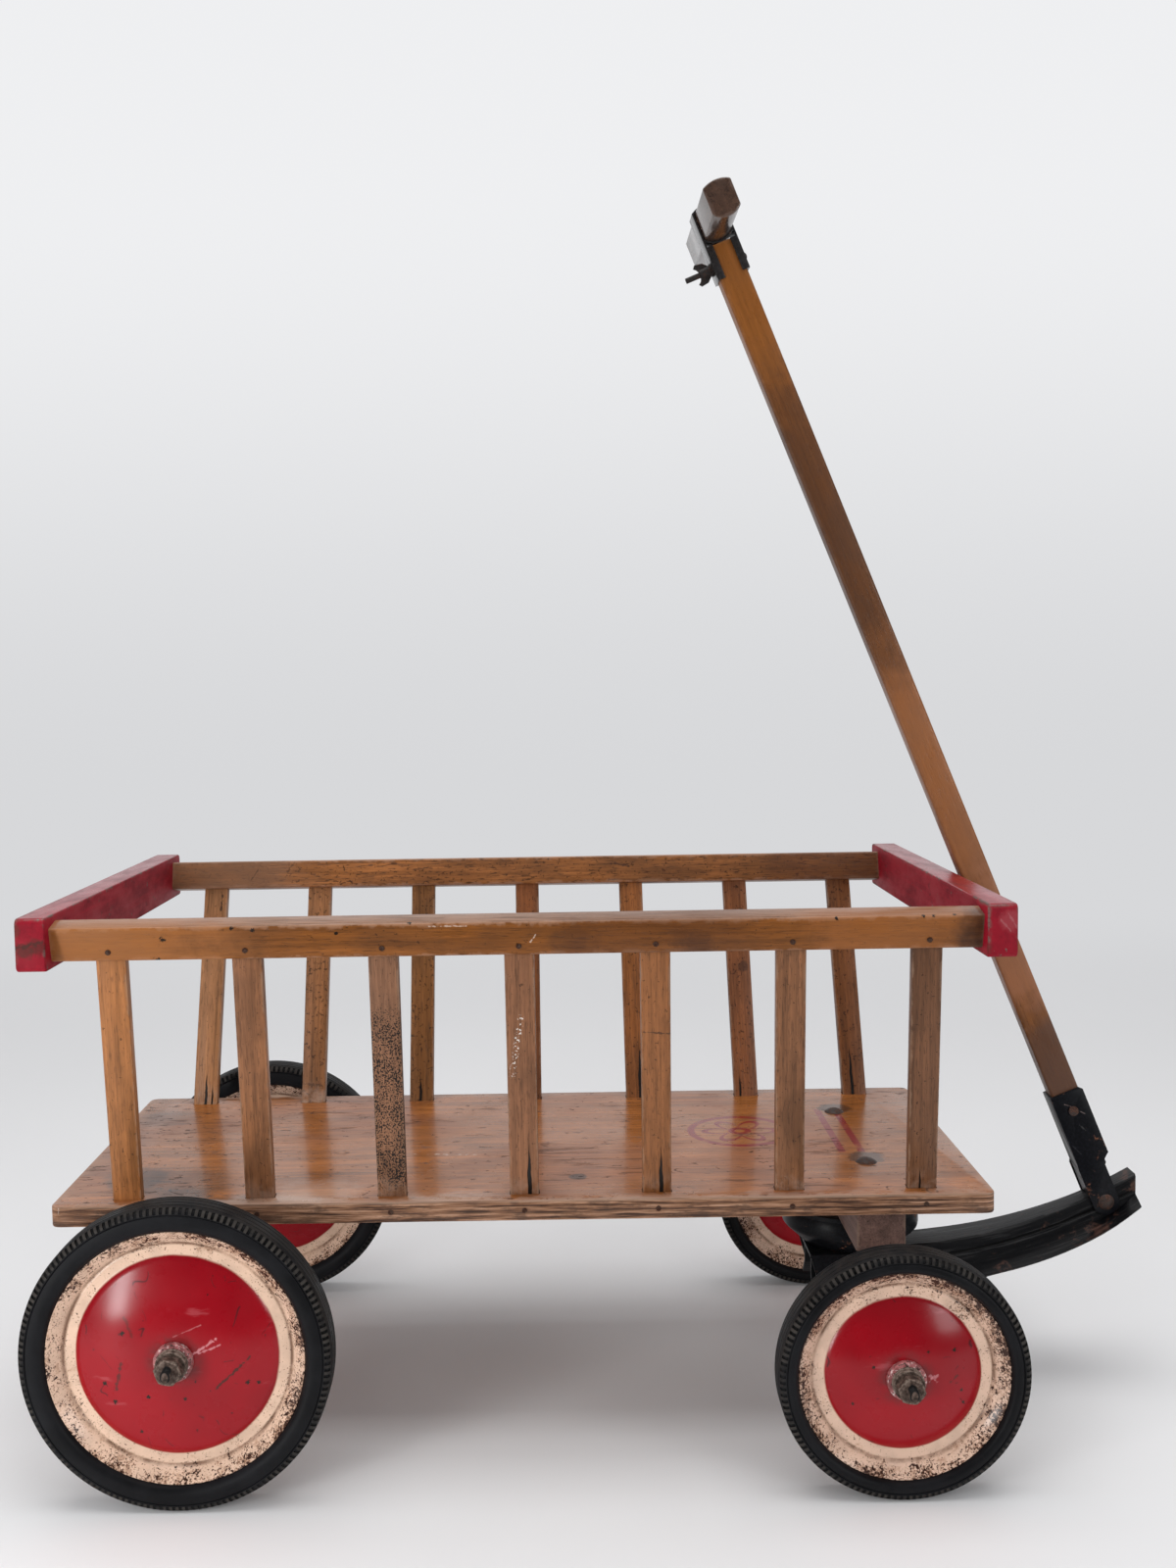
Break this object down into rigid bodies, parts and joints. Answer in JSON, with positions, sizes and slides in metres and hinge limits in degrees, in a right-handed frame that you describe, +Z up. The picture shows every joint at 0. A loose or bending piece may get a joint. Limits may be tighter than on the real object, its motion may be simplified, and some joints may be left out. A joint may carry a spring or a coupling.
{
  "type": "child's pull wagon",
  "caption": "Wooden child's pull wagon with slatted sides, pressed disc wheels with solid tyres, a steering turntable and a long T-handle on a pivoting tongue.",
  "frame": {"origin": "on the ground, in the middle of the wagon's overall length and width, tyre backs to tongue tip", "axes": "+X forward to the tongue and handle, +Y to the wagon's left, +Z up; the right side is the one the picture shows"},
  "size_m": [0.985, 0.5436, 1.0986],
  "materials": {
    "deck_plywood": "varnished reddish-brown plywood, glossy and scratched",
    "slat_wood": "brown varnish, worn",
    "rail_wood": "honey-brown varnish, worn",
    "red_rail": "crimson paint on wood, worn at the edges",
    "bolster_wood": "brown varnish, dull",
    "shaft_wood": "brown varnish, satin",
    "grip_wood": "dark brown varnish, satin",
    "wheel_paint": "glossy deep red with a cream rim, rust specks",
    "hub_paint": "faded pink paint, worn",
    "tyre_rubber": "matt black rubber",
    "black_steel": "black paint with rust patches",
    "worn_steel": "dull, lightly rusted",
    "rusty_steel": "rusty"
  },
  "bodies": {
    "wagon": {"deck": "deck_plywood", "slat_right_1": "slat_wood", "slat_right_2": "slat_wood", "slat_right_3": "slat_wood", "slat_right_4": "slat_wood", "slat_right_5": "slat_wood", "slat_right_6": "slat_wood", "slat_right_7": "slat_wood", "slat_left_1": "slat_wood", "slat_left_2": "slat_wood", "slat_left_3": "slat_wood", "slat_left_4": "slat_wood", "slat_left_5": "slat_wood", "slat_left_6": "slat_wood", "slat_left_7": "slat_wood", "side_rail_right": "rail_wood", "side_rail_left": "rail_wood", "end_rail_front": "red_rail", "end_rail_rear": "red_rail", "slat_nails": "worn_steel", "end_rail_screws": "worn_steel", "front_bolster": "bolster_wood", "rear_bolster": "bolster_wood", "bolster_bolts": "rusty_steel", "undercarriage_screws": "worn_steel", "rear_hangers": "black_steel", "rear_axle": "worn_steel", "rear_axle_nuts": "rusty_steel", "turntable_plate": "black_steel", "kingpin": "worn_steel"},
    "carriage": {"turntable_dish": "black_steel", "axle_bracket": "black_steel", "front_axle": "worn_steel", "front_axle_nuts": "rusty_steel", "tongue": "black_steel", "tongue_rivets": "worn_steel", "pivot_rivet": "worn_steel"},
    "wheel_rear_right": {"rear_right_tyre": "tyre_rubber", "rear_right_outer_disc": "wheel_paint", "rear_right_inner_disc": "wheel_paint", "rear_right_hub": "hub_paint"},
    "wheel_rear_left": {"rear_left_tyre": "tyre_rubber", "rear_left_outer_disc": "wheel_paint", "rear_left_inner_disc": "wheel_paint", "rear_left_hub": "hub_paint"},
    "wheel_front_right": {"front_right_tyre": "tyre_rubber", "front_right_outer_disc": "wheel_paint", "front_right_inner_disc": "wheel_paint", "front_right_hub": "hub_paint"},
    "wheel_front_left": {"front_left_tyre": "tyre_rubber", "front_left_outer_disc": "wheel_paint", "front_left_inner_disc": "wheel_paint", "front_left_hub": "hub_paint"},
    "handle": {"handle_socket": "black_steel", "handle_shaft": "shaft_wood", "socket_screws": "worn_steel", "grip_bar": "grip_wood", "grip_strap": "black_steel", "grip_bolt": "worn_steel"},
    "wing_nut": {"wing_nut": "rusty_steel"}
  },
  "joints": [
    {"name": "rear_right_spin", "type": "hinge", "parent": "wagon", "child": "wheel_rear_right", "pos_m": [-0.3655, -0.226, 0.127], "axis": [0, 1, 0], "continuous": true},
    {"name": "rear_left_spin", "type": "hinge", "parent": "wagon", "child": "wheel_rear_left", "pos_m": [-0.3655, 0.226, 0.127], "axis": [0, 1, 0], "continuous": true},
    {"name": "front_right_spin", "type": "hinge", "parent": "carriage", "child": "wheel_front_right", "pos_m": [0.2235, -0.226, 0.1025], "axis": [0, 1, 0], "continuous": true},
    {"name": "front_left_spin", "type": "hinge", "parent": "carriage", "child": "wheel_front_left", "pos_m": [0.2235, 0.226, 0.1025], "axis": [0, 1, 0], "continuous": true},
    {"name": "steering", "type": "hinge", "parent": "wagon", "child": "carriage", "pos_m": [0.2235, 0, 0.1667], "axis": [0, 0, 1], "range_deg": [-18, 18]},
    {"name": "handle_pivot", "type": "hinge", "parent": "carriage", "child": "handle", "pos_m": [0.4639, 0, 0.1672], "axis": [0, 1, 0], "range_deg": [0, 70]},
    {"name": "wing_nut_turn", "type": "hinge", "parent": "handle", "child": "wing_nut", "pos_m": [0.11346, 0, 1.04526], "axis": [0.9272, 0, 0.3746], "continuous": true}
  ]
}
